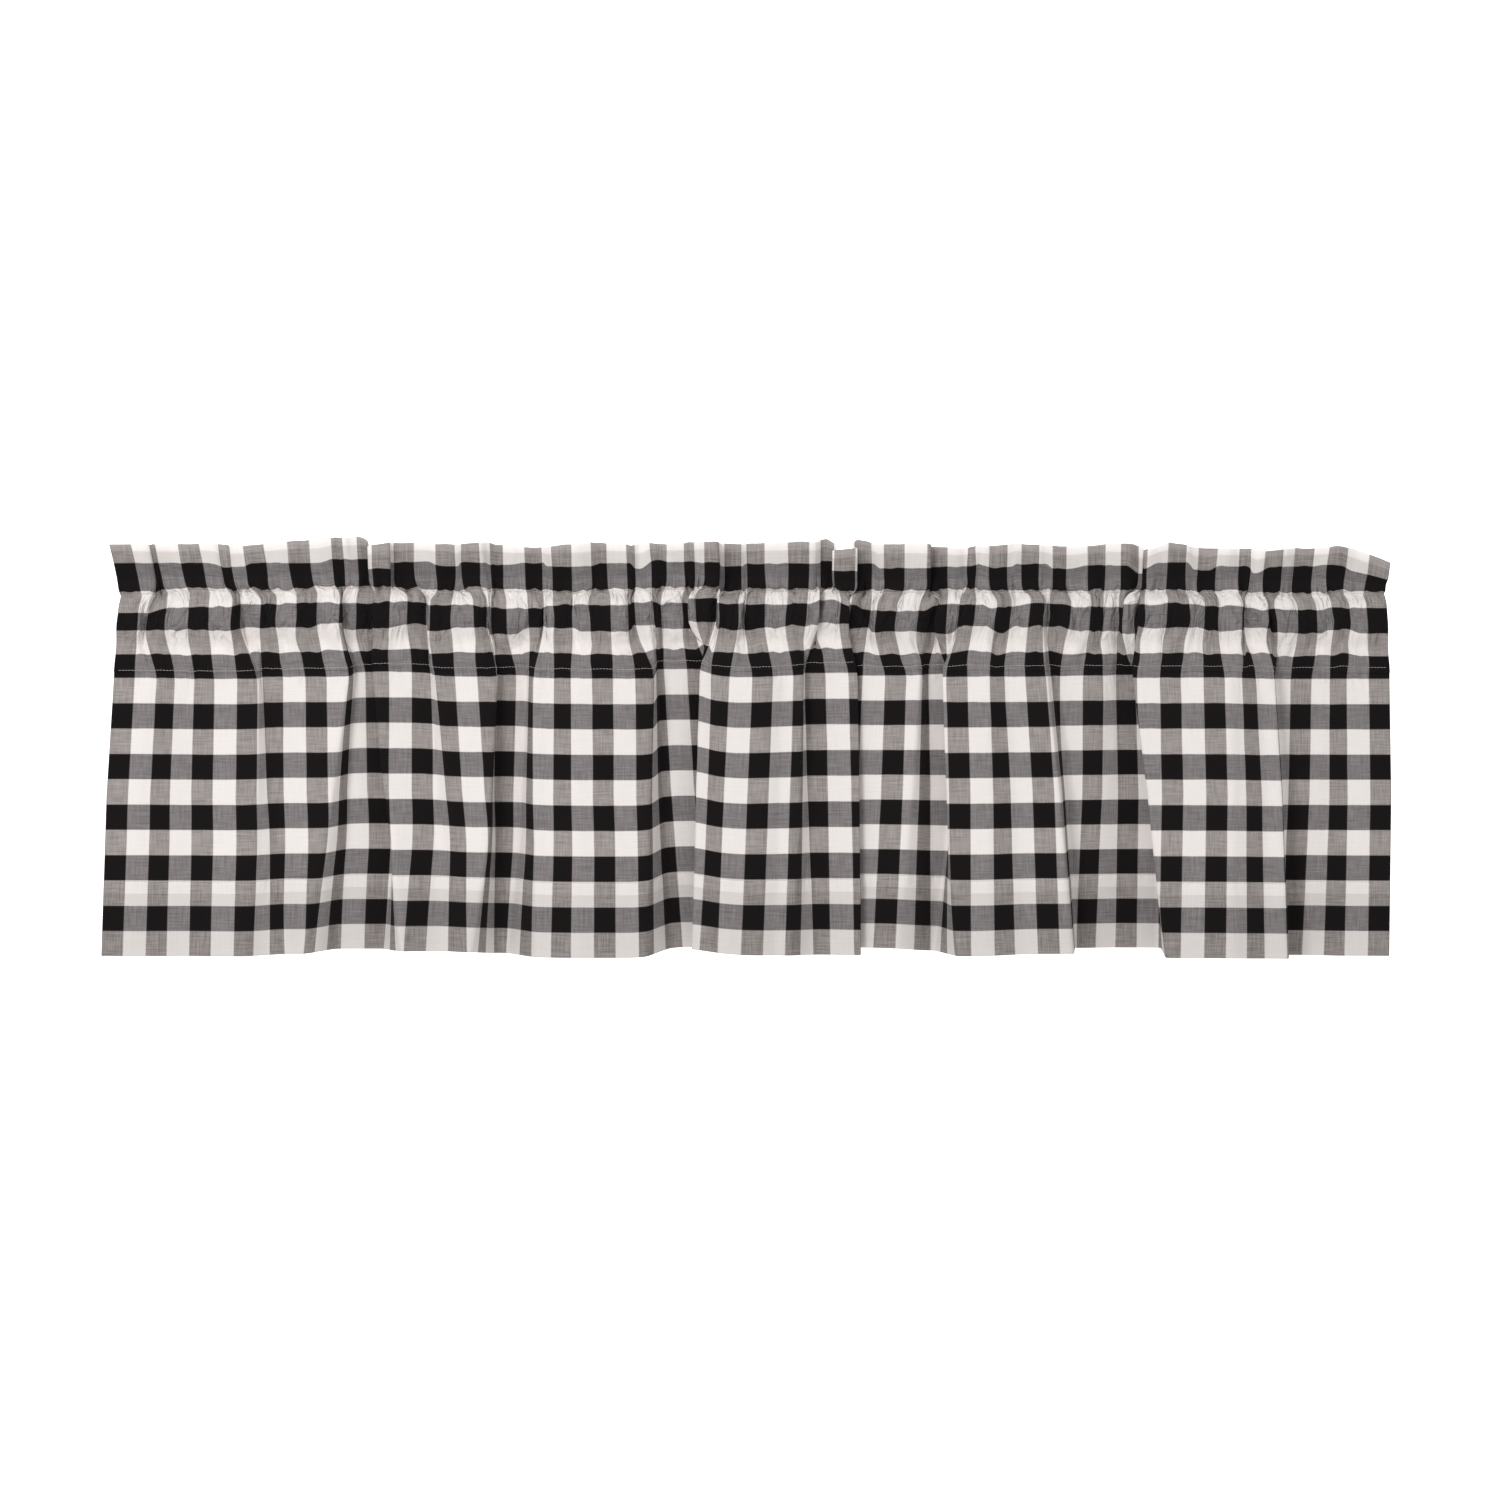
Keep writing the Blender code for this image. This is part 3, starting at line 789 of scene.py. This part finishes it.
def check_cotton(name, turned_at, doubled, patterned, glow, gathered):
    """Check cotton that is turned back at one length down it, and lies doubled near there.

    It lies doubled this far to each side of the turn, where it is painted darker as painted
    shade, and the check behind it is painted showing through this far, as painted shade too. At
    the turn a painted highlight makes it lighter by the glow. It is gathered at some lengths down
    it, each with creases of some reach and depth. All lengths are in millimetres.
    """
    material = bpy.data.materials.new(name)
    material.use_nodes = True
    tree = material.node_tree
    shader = tree.nodes["Principled BSDF"]
    cloth = add(tree, "ShaderNodeUVMap", {}, uv_map="cloth").outputs[0]
    flat = add(tree, "ShaderNodeVectorMath", {0: cloth, 3: 1 / MM}, operation="SCALE").outputs[0]
    parts = add(tree, "ShaderNodeSeparateXYZ", {0: flat}).outputs

    def math_node(operation, *values):
        return add(tree, "ShaderNodeMath", dict(enumerate(values)), operation=operation).outputs[0]

    def striped(place, centre, half_pitch, half_width):
        off = math_node("PINGPONG", math_node("SUBTRACT", place, centre), half_pitch)
        ends = {1: half_width - EDGE_BLUR, 2: half_width + EDGE_BLUR, 3: 1.0, 4: 0.0}
        return add(tree, "ShaderNodeMapRange", {0: off, **ends}).outputs[0]

    dark_warp = striped(
        parts[0], DARK_COLUMN / 2, (DARK_COLUMN + LIGHT_COLUMN) / 2, DARK_COLUMN / 2
    )
    black_weft = striped(parts[1], FIRST_ROW + CHECK_ROW / 2, CHECK_ROW, CHECK_ROW / 2)
    undyed_row = add(
        tree, "ShaderNodeMix",
        {0: dark_warp, 6: linear(UNDYED), 7: linear(GREY_UNDYED_WEFT)}, data_type="RGBA",
    ).outputs[2]
    black_row = add(
        tree, "ShaderNodeMix",
        {0: dark_warp, 6: linear(GREY_BLACK_WEFT), 7: linear(BLACK)}, data_type="RGBA",
    ).outputs[2]
    woven = add(
        tree, "ShaderNodeMix", {0: black_weft, 6: undyed_row, 7: black_row}, data_type="RGBA"
    ).outputs[2]

    # Streaks of uneven yarn, down the cloth for the warp and across it for the weft.
    streaks = []
    for wide, long in ((YARN_STREAK, YARN_LENGTH), (YARN_LENGTH, YARN_STREAK)):
        scaled = add(
            tree, "ShaderNodeMapping", {0: flat, 3: (1 / wide, 1 / long, 1.0)}
        ).outputs[0]
        yarn = add(tree, "ShaderNodeTexNoise", {0: scaled, 2: 1.0, 3: 2.0, 4: 0.6}).outputs[0]
        streaks.append(math_node("SUBTRACT", yarn, 0.5))
    mixed = math_node("ABSOLUTE", math_node("SUBTRACT", dark_warp, black_weft))
    strength = math_node("MULTIPLY_ADD", mixed, MIXED_STREAKS, PLAIN_STREAKS)
    uneven = math_node("MULTIPLY", math_node("ADD", streaks[0], streaks[1]), strength)

    # The black rows of the layer behind, which is turned back; painted shade shows them through.
    behind = math_node("SUBTRACT", 2 * turned_at, parts[1])
    black_behind = striped(behind, FIRST_ROW + CHECK_ROW / 2, CHECK_ROW, CHECK_ROW / 2)
    from_turn = math_node("ABSOLUTE", math_node("SUBTRACT", parts[1], turned_at))

    def near_turn(distance):
        ends = {1: distance - LAYER_BLUR, 2: distance + LAYER_BLUR, 3: 1.0, 4: 0.0}
        return add(tree, "ShaderNodeMapRange", {0: from_turn, **ends}).outputs[0]

    ends = {1: 0.0, 2: EDGE_GLOW_BREADTH, 3: 1.0, 4: 0.0}
    painted_glow_share = add(tree, "ShaderNodeMapRange", {0: from_turn, **ends}).outputs[0]
    # Painted shade: the black rows behind are painted showing through, and doubled cloth is painted
    # darker.
    painted_show_through = math_node("MULTIPLY", black_behind, near_turn(patterned))
    painted_shade_and_glow = math_node("MULTIPLY", painted_show_through, BEHIND_PAINTED_SHADE)
    painted_shade_and_glow = math_node("MULTIPLY_ADD", near_turn(doubled), DOUBLED_PAINTED_SHADE, painted_shade_and_glow)
    # Painted highlight: the cloth is painted lighter in the last millimetres at the turn.
    painted_shade_and_glow = math_node("MULTIPLY_ADD", painted_glow_share, -glow, painted_shade_and_glow)
    bright = math_node("SUBTRACT", math_node("ADD", uneven, 1.0), painted_shade_and_glow)
    tinted = add(
        tree, "ShaderNodeVectorMath", {0: woven, 3: bright}, operation="SCALE"
    ).outputs[0]
    tree.links.new(tinted, shader.inputs["Base Color"])

    weave = math_node("ADD", streaks[0], streaks[1])
    woven_bump = add(
        tree, "ShaderNodeBump", {"Height": weave, "Strength": 0.25, "Distance": YARN_RELIEF * MM}
    ).outputs[0]

    # The creases run down the cloth and fade away above and below where it is drawn in.
    folded = add(
        tree, "ShaderNodeMapping", {0: flat, 3: (1 / CREASE_PITCH, 1 / CREASE_LENGTH, 1.0)}
    ).outputs[0]
    creases = add(
        tree, "ShaderNodeTexNoise", {0: folded, 2: 1.0, 3: 2.5, 4: 0.55, 8: 0.7}
    ).outputs[0]
    down_cloth = math_node("ABSOLUTE", parts[1])
    near = 0.0
    for middle, reach, depth in gathered:
        off = math_node("ABSOLUTE", math_node("SUBTRACT", down_cloth, middle))
        ends = {1: 0.0, 2: reach, 3: depth, 4: 0.0}
        fading = add(tree, "ShaderNodeMapRange", {0: off, **ends}, interpolation_type="SMOOTHSTEP")
        near = math_node("ADD", fading.outputs[0], near)
    creases = math_node("ABSOLUTE", math_node("SUBTRACT", creases, 0.5))
    height = math_node("MULTIPLY", creases, near)
    bump = add(
        tree, "ShaderNodeBump",
        {"Height": height, "Strength": 1.0, "Distance": MM, "Normal": woven_bump},
    )
    tree.links.new(bump.outputs[0], shader.inputs["Normal"])
    shader.inputs["Roughness"].default_value = 0.92
    shader.inputs["Specular IOR Level"].default_value = 0.1
    shader.inputs["Sheen Weight"].default_value = 0.02
    shader.inputs["Sheen Roughness"].default_value = 0.6
    return material


Gathered = namedtuple("Gathered", "down reach depth")
gathered_rows = (Gathered(FRILL_STITCH, 22.0, 7.0), Gathered(79.0, 46.0, 14.0))
heading.data.materials.append(
    check_cotton(
        "check_cotton_doubled", 0.0, FRILL_STITCH, FRILL_STITCH, TOP_EDGE_PAINTED_GLOW, gathered_rows
    )
)
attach(heading, "root")
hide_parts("heading")


# The hanging part: one layer of the same cloth, from the pocket's stitching down to a deep hem
# that is turned up to the back and stitched. Its side edges are turned in and stitched too.

# It starts this far above the pocket's stitching, behind the heading's front. The hem's front
# steps out over this far to each side of its stitching. Behind the hem the check is painted as
# showing through, as painted shade, from the bottom edge up to here, where its cloth is turned
# under. The bottom edge is round.
PANEL_TUCK = 6.0
HEM_STEP = 2.0
TURNED_UNDER = 357.0
BOTTOM_ROUND = 1.6

# The hem's front layer stands this far forward of the hanging cloth, and its back layer as far
# behind and twice this room further. The cloth that is turned in at the sides lies this far behind
# the front, above the hem and inside it.
HEM_OFF = 0.5
HEM_BEHIND = 0.3
SIDE_OFF = 0.8
SIDE_OFF_IN_HEM = 0.1
PANEL_ROWS = np.concatenate([
    np.arange(POCKET_STITCH - PANEL_TUCK, POCKET_STITCH + 16.0, 2.0),
    np.arange(POCKET_STITCH + 18.0, HEM_STITCH - 4.0, 3.8),
    np.arange(HEM_STITCH - 2.1, HEM_STITCH + 3.0, 0.7),
    np.arange(HEM_STITCH + 5.0, BOTTOM - 3.0, 3.8),
    [BOTTOM - BOTTOM_ROUND, BOTTOM - 0.7, BOTTOM - 0.15],
])
BACK_ROWS = np.concatenate([
    [BOTTOM - 0.15, BOTTOM - 0.7, BOTTOM - BOTTOM_ROUND],
    np.arange(BOTTOM - 6.0, HEM_STITCH + 1.0, -6.0),
    [HEM_STITCH],
])


def bottom_turn(down):
    """How far the hem's layers have parted at a length down the cloth, from its edge (0) to 1."""
    return 1 - max(0.0, 1 - (BOTTOM - down) / BOTTOM_ROUND) ** 2


lines = {down: crossing(down) for down in {*PANEL_ROWS, *BACK_ROWS}}
rings = []
cut_rows = []
for down in PANEL_ROWS:
    hem = float(smooth_step(down, HEM_STITCH - HEM_STEP, HEM_STITCH + HEM_STEP))
    front = -HEM_OFF * hem * bottom_turn(down)
    behind = SIDE_OFF * (1 - hem) + SIDE_OFF_IN_HEM * hem
    forward = np.interp(PLACED, FINE, worked(down))
    off = np.where(TURNED_IN, front + behind, front)
    rings.append(places(lines[down], PLACED, forward, off))
    cut_rows.append(down)
for down in BACK_ROWS:
    off = HEM_BEHIND + (HEM_OFF + HEM_BEHIND) * bottom_turn(down)
    off = np.where(TURNED_IN, off - HEM_BEHIND, off)
    rings.append(places(lines[down], PLACED, 0.0, off))
    cut_rows.append(2 * BOTTOM - down)
panel = cloth_sheet("panel_cloth", rings, cut_rows)
gathered_rows = (Gathered(POCKET_STITCH, 34.0, 6.0), Gathered(HEM_STITCH, 16.0, 2.0))
panel.data.materials.append(
    check_cotton(
        "check_cotton_hemmed",
        BOTTOM,
        BOTTOM - HEM_STITCH,
        BOTTOM - TURNED_UNDER,
        HEM_EDGE_PAINTED_GLOW,
        gathered_rows,
    )
)
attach(panel, "root")
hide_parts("panel")


# The stitching: undyed cotton thread in a lockstitch, three rows across and, caught down from
# behind, one down each side hem. Each stitch is a short plump length of thread lying on the cloth,
# drawn a little thicker than the real third of a millimetre so that it shows.
STITCH_PITCH = 3.2
STITCH_LENGTH = 3.15
THREAD = 0.44
ROW_FROM_EDGE = 2.0


def stitch_places(path, face):
    """The stitches along a path in metres: the middle of each, and its length, breadth and height.

    The path has the way the cloth faces at each of its points.
    """
    steps = np.linalg.norm(np.diff(path, axis=0), axis=1)
    run = np.concatenate([[0.0], np.cumsum(steps)])
    starts = np.arange(STITCH_PITCH / 2, run[-1] / MM - STITCH_LENGTH, STITCH_PITCH) * MM

    def at(values, distance):
        return np.stack([np.interp(distance, run, values[:, axis]) for axis in range(3)], axis=1)

    first = at(path, starts)
    last = at(path, starts + STITCH_LENGTH * MM)
    out = at(face, starts + STITCH_LENGTH / 2 * MM)
    out /= np.linalg.norm(out, axis=1, keepdims=True)
    beside = np.cross(out, last - first)
    beside /= np.linalg.norm(beside, axis=1, keepdims=True)
    return (first + last) / 2, beside * THREAD * MM, out * THREAD * MM, last - first


def stitch_grain():
    """One stitch as a plump grain: its corners and its faces, in the same order in each run."""
    bm = bmesh.new()
    bmesh.ops.create_uvsphere(bm, u_segments=5, v_segments=4, radius=0.5)
    in_order = sorted(bm.verts, key=lambda vert: [round(part, 4) for part in vert.co])
    for number, vert in enumerate(in_order):
        vert.index = number
    grain = np.array([vert.co for vert in in_order])
    grain_faces = []
    for face in bm.faces:
        ring = [vert.index for vert in face.verts]
        first = ring.index(min(ring))
        grain_faces.append(ring[first:] + ring[:first])
    bm.free()
    return grain, sorted(grain_faces)


def stitching(name, runs):
    """One mesh of all the stitches along several runs of path and face."""
    grain, grain_faces = stitch_grain()
    corners = []
    for path, face in runs:
        middle, *axes = stitch_places(path, face)
        stitch = middle[:, None] + sum(
            grain[None, :, axis, None] * axes[axis][:, None] for axis in range(3)
        )
        corners.append(stitch.reshape(-1, 3))
    corners = np.concatenate(corners)
    faces = [
        [start + corner for corner in face]
        for start in range(0, len(corners), len(grain))
        for face in grain_faces
    ]
    mesh = bpy.data.meshes.new(name)
    mesh.from_pydata(corners, [], faces)
    mesh.shade_smooth()
    return in_scene(name, mesh)


def stitched_run(down, right_down, side, off):
    """The path of a row of stitches across the front (side -1) or back, and its face.

    The row runs straight over the flat cloth from one length down it to another at the right, and
    the path is blended from lines of cloth at a few levels between them.
    """
    from_end = np.minimum(MAIN_COLUMNS, CLOTH_WIDTH - MAIN_COLUMNS)
    seats = MAIN_COLUMNS[from_end > ROW_FROM_EDGE]
    if down < HEM_STITCH:
        off = off + side_hem_room(seats)
    levels = 5
    path = np.zeros((len(seats), 3))
    face = np.zeros((len(seats), 3))
    for level in range(levels):
        row_down = down + (right_down - down) * level / (levels - 1)
        weight = np.clip(1 - abs(seats / CLOTH_WIDTH * (levels - 1) - level), 0, 1)[:, None]
        line = crossing(row_down)
        forward = np.interp(seats, FINE, worked(row_down)) if side < 0 else 0.0
        path += weight * places(line, seats, forward, side * off)
        for axis in range(2):
            facing = np.interp(seats, FINE, line[1][:, axis]) * side
            face[:, axis] += weight[:, 0] * facing
    return path, face


# The rows run this far down the cloth, the pocket's a little aslant, and this far off the cloth's
# middle. The hem's runs a little lower behind, so that it lies on the turned-up cloth.
POCKET_ROW_LEFT = 136.4
POCKET_ROW_RIGHT = 131.6
HEM_ROW = HEM_STITCH + 1.0
HEM_ROW_BEHIND = HEM_STITCH + 2.5
HEADING_THREAD_OFF = LAYER + 0.15
HEM_THREAD_OFF = HEM_OFF + 0.15
HEM_THREAD_OFF_BEHIND = 2 * HEM_OFF + 0.2
thread_runs = [
    stitched_run(FRILL_STITCH, FRILL_STITCH, -1, HEADING_THREAD_OFF),
    stitched_run(FRILL_STITCH, FRILL_STITCH, 1, HEADING_THREAD_OFF),
    stitched_run(POCKET_ROW_LEFT, POCKET_ROW_RIGHT, -1, HEADING_THREAD_OFF),
    stitched_run(POCKET_ROW_LEFT, POCKET_ROW_RIGHT, 1, HEADING_THREAD_OFF),
    stitched_run(HEM_ROW, HEM_ROW, -1, HEM_THREAD_OFF),
    stitched_run(HEM_ROW_BEHIND, HEM_ROW_BEHIND, 1, HEM_THREAD_OFF_BEHIND),
]

# Down each side hem the stitches lie on its back, this far in from the edge and this far behind.
SIDE_STITCH = 7.5
SIDE_THREAD_OFF = SIDE_OFF + 0.15
for seat in (SIDE_STITCH, CLOTH_WIDTH - SIDE_STITCH):
    path = []
    for down in PANEL_ROWS[PANEL_ROWS < HEM_STITCH]:
        forward = float(np.interp(seat, FINE, worked(down)))
        path.append(places(lines[down], [seat], forward, SIDE_THREAD_OFF)[0])
    thread_runs.append((np.array(path), np.tile((0.0, 1.0, 0.0), (len(path), 1))))
thread = stitching("stitching", thread_runs)

# Spun cotton sewing thread: matt and a little uneven, so its colour is broken by a fine noise.
THREAD_LIGHT = "#CFC9C4"
THREAD_DARK = "#BDB7B2"
THREAD_UNEVEN = 0.8
spun_cotton = bpy.data.materials.new("spun_cotton_thread")
spun_cotton.use_nodes = True
tree = spun_cotton.node_tree
shader = tree.nodes["Principled BSDF"]
place = add(tree, "ShaderNodeTexCoord", {}).outputs["Object"]
ply = add(
    tree, "ShaderNodeTexNoise", {"Vector": place, "Scale": 1 / (THREAD_UNEVEN * MM)}
).outputs[0]
colour = add(
    tree, "ShaderNodeMix",
    {0: ply, 6: linear(THREAD_DARK), 7: linear(THREAD_LIGHT)}, data_type="RGBA",
).outputs[2]
tree.links.new(colour, shader.inputs["Base Color"])
shader.inputs["Roughness"].default_value = 0.8
thread.data.materials.append(spun_cotton)
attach(thread, "root")


# The studio: a pale floor well below, a bright white wall far behind, and two broad soft lights in
# front, with a long lens level with the middle of the picture.
WHITE_PAINT = "#FFFFFF"
PALE_FLOOR = "#E9E7E4"
FLOOR_HEIGHT = -2.1
FLOOR_HALF = 6.0
WALL_PLACE = 6.0
WALL_HALF = 3.0
ROOM_LIGHT = 0.56
PICTURE_WIDTH = 1.485
PICTURE_MIDDLE = -0.2035
LENS = 100.0
SENSOR = 36.0


def flat_square(name, half, colour, glow):
    """A level square of painted board, which glows by some strength."""
    bm = bmesh.new()
    bmesh.ops.create_grid(bm, x_segments=1, y_segments=1, size=half)
    mesh = bpy.data.meshes.new(name)
    bm.to_mesh(mesh)
    bm.free()
    board = in_scene(name, mesh)
    paint = bpy.data.materials.new(name + "_matt_paint")
    paint.use_nodes = True
    paint_shader = paint.node_tree.nodes["Principled BSDF"]
    paint_shader.inputs["Base Color"].default_value = linear(colour)
    paint_shader.inputs["Roughness"].default_value = 0.9
    paint_shader.inputs["Emission Color"].default_value = linear(colour)
    paint_shader.inputs["Emission Strength"].default_value = glow
    board.data.materials.append(paint)
    return board


floor = flat_square("studio_floor", FLOOR_HALF, PALE_FLOOR, 0.0)
floor.location = (0.0, 0.0, FLOOR_HEIGHT)
wall = flat_square("white_wall", WALL_HALF, WHITE_PAINT, 1.0)
wall.location = (0.0, WALL_PLACE, 0.0)
wall.rotation_euler = (math.pi / 2, 0.0, 0.0)

world = bpy.data.worlds.new("white_room")
world.use_nodes = True
background = world.node_tree.nodes["Background"]
background.inputs["Color"].default_value = linear(WHITE_PAINT)
background.inputs["Strength"].default_value = ROOM_LIGHT
bpy.context.scene.world = world


def soft_light(name, place, size, power):
    """A square soft light that faces the middle of the valance."""
    data = bpy.data.lights.new(name, "AREA")
    data.size = size
    data.energy = power
    lamp = in_scene(name, data)
    lamp.location = place
    aim = Vector((0.0, 0.0, PICTURE_MIDDLE)) - Vector(place)
    lamp.rotation_mode = "QUATERNION"
    lamp.rotation_quaternion = aim.to_track_quat("-Z", "Y")


soft_light("front_softbox", (-1.5, -2.9, 1.2), 1.2, 54.0)
soft_light("side_softbox", (2.4, -2.8, 0.5), 1.6, 11.0)

camera_data = bpy.data.cameras.new("camera")
camera_data.lens = LENS
camera_data.sensor_width = SENSOR
camera = in_scene("camera", camera_data)
camera.location = (0.0, -PICTURE_WIDTH * LENS / SENSOR, PICTURE_MIDDLE)
camera.rotation_euler = (math.pi / 2, 0.0, 0.0)
bpy.context.scene.camera = camera
bpy.context.scene.view_settings.view_transform = "Standard"
